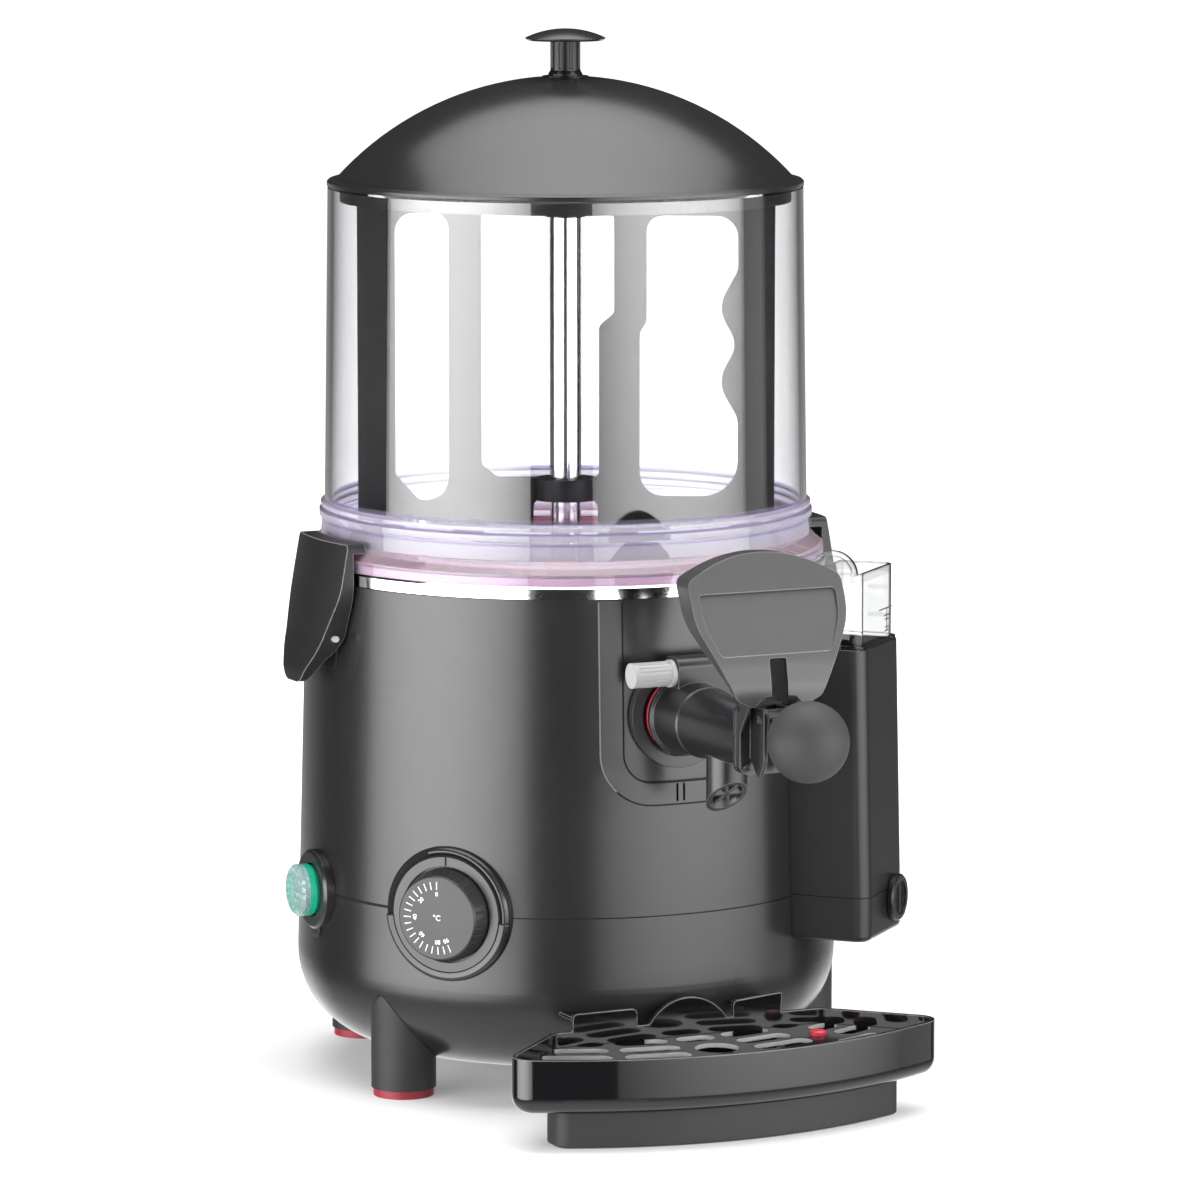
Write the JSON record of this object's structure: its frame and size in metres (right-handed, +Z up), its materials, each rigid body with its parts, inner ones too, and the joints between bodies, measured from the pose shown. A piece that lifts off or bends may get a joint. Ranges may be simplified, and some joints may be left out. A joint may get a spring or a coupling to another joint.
{
  "type": "hot chocolate dispenser machine",
  "caption": "Hot chocolate dispenser with a clear bowl and stirrer on a round heated base, lever tap with shield, side water tank, dial, lamp switch and drip tray.",
  "frame": {"origin": "on the bowl's vertical axis at table level", "axes": "+Z up, the tap and drip tray face -Y, +X is to the right seen from the front"},
  "size_m": [0.3298, 0.4833, 0.577],
  "materials": {
    "housing": "satin",
    "foot_black": "satin",
    "tap_black": "satin",
    "latch_black": "satin",
    "tank_black": "satin",
    "tray_black": "gloss",
    "grid_black": "satin",
    "knob_black": "satin",
    "ball_black": "gloss",
    "inner_plastic": "matte",
    "red_silicone": "satin",
    "grey_plastic": "satin",
    "collar_grey": "satin",
    "bright_steel": "polished",
    "sheet_steel": "brushed",
    "clear_bowl": "clear",
    "clear_cup": "clear",
    "lid_black": "satin",
    "paddle_black": "satin",
    "lamp_green": "gloss",
    "lens_clear": "clear",
    "motor_paint": "satin"
  },
  "bodies": {
    "base": {"lower_housing": "housing", "upper_housing": "housing", "tap_surround": "housing", "dial_bezel": "housing", "switch_ring": "housing", "cable_gland": "housing", "bottom_plate": "housing", "feet": "foot_black", "tap_barrel": "tap_black", "tap_cap": "tap_black", "shield": "tap_black", "cap_screws": "tap_black", "latch_brackets": "latch_black", "tank_body": "tank_black", "tank_foot": "tank_black", "switch_body": "inner_plastic", "thermostat": "inner_plastic", "tube_bushes": "inner_plastic", "foot_pads": "red_silicone", "container_gasket": "red_silicone", "tube_seal": "red_silicone", "tap_o_ring": "red_silicone", "latch_pins": "grey_plastic", "tap_collar": "collar_grey", "centre_tube": "bright_steel", "steel_bowl": "bright_steel", "water_jacket": "sheet_steel", "heating_element": "sheet_steel", "lever_pin": "sheet_steel", "plate_screws": "sheet_steel", "motor_bracket": "sheet_steel", "container": "clear_bowl", "gear_motor": "motor_paint"},
    "lid": {"lid": "lid_black", "lid_knob": "lid_black", "lid_screw": "sheet_steel"},
    "stirrer": {"drive_shaft": "sheet_steel", "paddle": "paddle_black"},
    "latch_left": {"latch_lever_left": "latch_black"},
    "latch_right": {"latch_lever_right": "latch_black"},
    "dial": {"dial_knob": "knob_black", "dial_shaft": "sheet_steel"},
    "button": {"switch_button": "lamp_green", "switch_lens": "lens_clear"},
    "lever": {"tap_lever": "tap_black", "ball_knob": "ball_black"},
    "piston": {"piston": "tap_black", "piston_rings": "red_silicone"},
    "pin": {"locking_pin": "grey_plastic"},
    "tray": {"tray_tub": "tray_black", "tray_plinth": "foot_black"},
    "grid": {"tray_grid": "grid_black"},
    "float": {"tray_float": "red_silicone"},
    "cup": {"filler_cup": "clear_cup"},
    "plug": {"drain_plug": "tank_black"}
  },
  "joints": [
    {"name": "lid_lift", "type": "slide", "parent": "base", "child": "lid", "axis": [0, 0, 1], "range_m": [0, 0.12]},
    {"name": "stirrer_spin", "type": "hinge", "parent": "base", "child": "stirrer", "pos_m": [0, 0, 0.3], "axis": [0, 0, 1], "continuous": true},
    {"name": "latch_left_swing", "type": "hinge", "parent": "base", "child": "latch_left", "pos_m": [-0.1505, 0, 0.25], "axis": [0, -1, 0], "range_deg": [0, 26]},
    {"name": "latch_right_swing", "type": "hinge", "parent": "base", "child": "latch_right", "pos_m": [0.1505, 0, 0.25], "axis": [0, 1, 0], "range_deg": [0, 26]},
    {"name": "dial_turn", "type": "hinge", "parent": "base", "child": "dial", "pos_m": [-0.11491, -0.09642, 0.107], "axis": [0.766, 0.6428, 0], "range_deg": [0, 210]},
    {"name": "button_press", "type": "slide", "parent": "base", "child": "button", "axis": [0.9998, -0.0175, 0], "range_m": [0, 0.003], "stiffness_N_per_m": 400},
    {"name": "lever_lift", "type": "hinge", "parent": "base", "child": "lever", "pos_m": [0, -0.26, 0.22974], "axis": [-1, 0, 0], "range_deg": [0, 40]},
    {"name": "piston_draw", "type": "slide", "parent": "base", "child": "piston", "axis": [0, -1, 0], "range_m": [0, 0.0101]},
    {"name": "pin_draw", "type": "slide", "parent": "base", "child": "pin", "axis": [-1, 0, 0], "range_m": [0, 0.03]},
    {"name": "tray_slide", "type": "slide", "parent": "base", "child": "tray", "axis": [0, -1, 0], "range_m": [0, 0.12]},
    {"name": "grid_lift", "type": "slide", "parent": "tray", "child": "grid", "axis": [0, 0, 1], "range_m": [0, 0.04]},
    {"name": "float_rise", "type": "slide", "parent": "grid", "child": "float", "axis": [0, 0, 1], "range_m": [0, 0.008]},
    {"name": "cup_lift", "type": "slide", "parent": "base", "child": "cup", "axis": [0, 0, 1], "range_m": [0, 0.04]},
    {"name": "plug_turn", "type": "hinge", "parent": "base", "child": "plug", "pos_m": [0.14009, -0.1297, 0.102], "axis": [0.682, -0.7314, 0], "range_deg": [0, 90]}
  ],
  "couplings": [
    {"joint": "piston_draw", "follows": "lever_lift", "m_per_rad": 0.014324}
  ]
}
